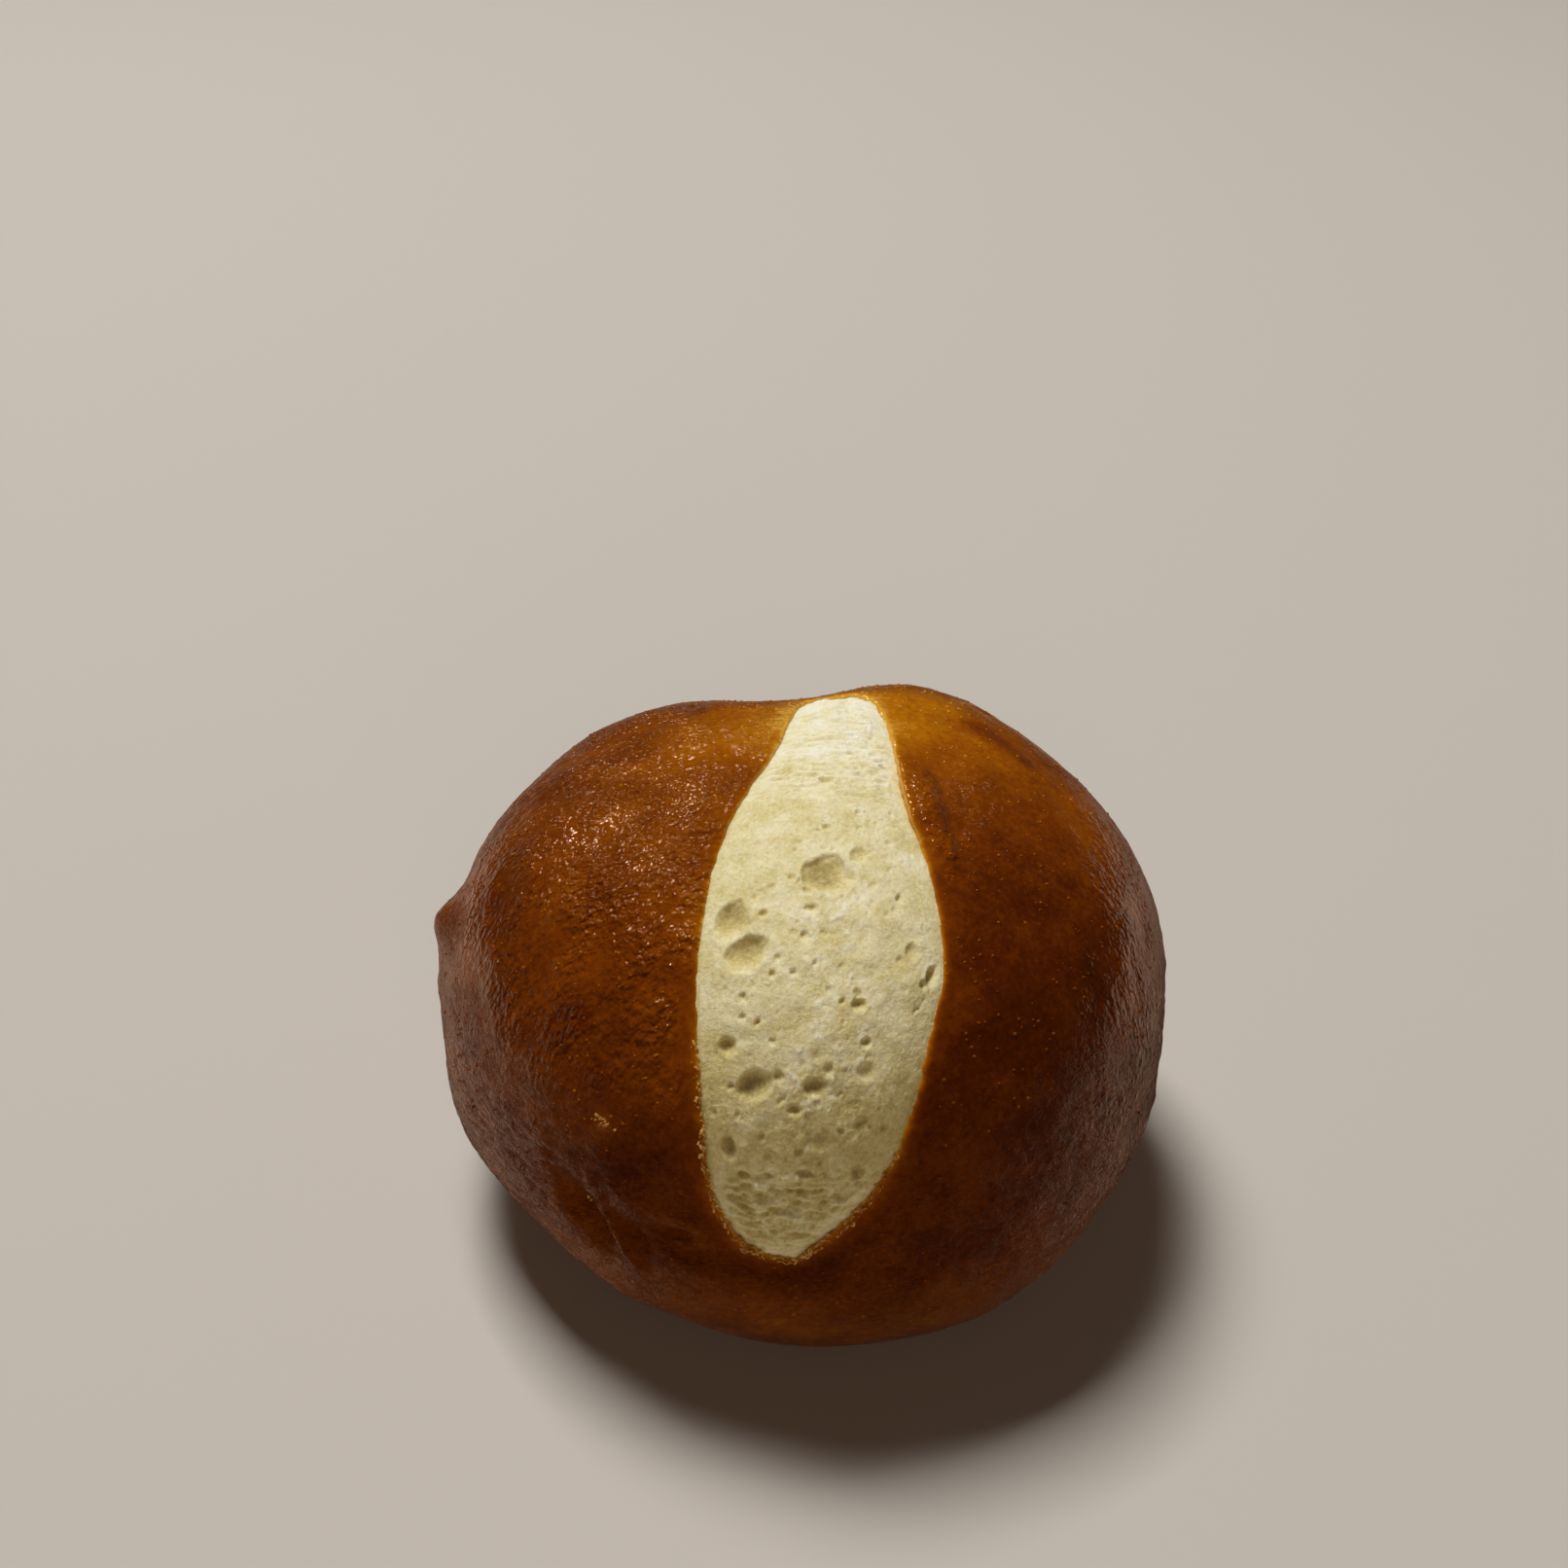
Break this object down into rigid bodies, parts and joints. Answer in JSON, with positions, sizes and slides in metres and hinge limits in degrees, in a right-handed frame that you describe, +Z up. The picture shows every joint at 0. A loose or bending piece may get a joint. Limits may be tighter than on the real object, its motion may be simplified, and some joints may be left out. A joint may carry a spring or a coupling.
{
  "type": "pretzel slider bun",
  "caption": "Small round baked roll with a domed brown crust, a long torn score that bares the pale crumb, and a flat foot to rest on.",
  "frame": {"origin": "on the flat foot, under the middle of the bun's width and length", "axes": "+Z up from the foot; -Y to the front, where the score's low tip is; +X to the right seen from the front"},
  "size_m": [0.0702, 0.0678, 0.0478],
  "materials": {
    "crust": "satin, baked brown crust with bare cream crumb in the score"
  },
  "bodies": {
    "root": {"bun": "crust"}
  },
  "joints": []
}
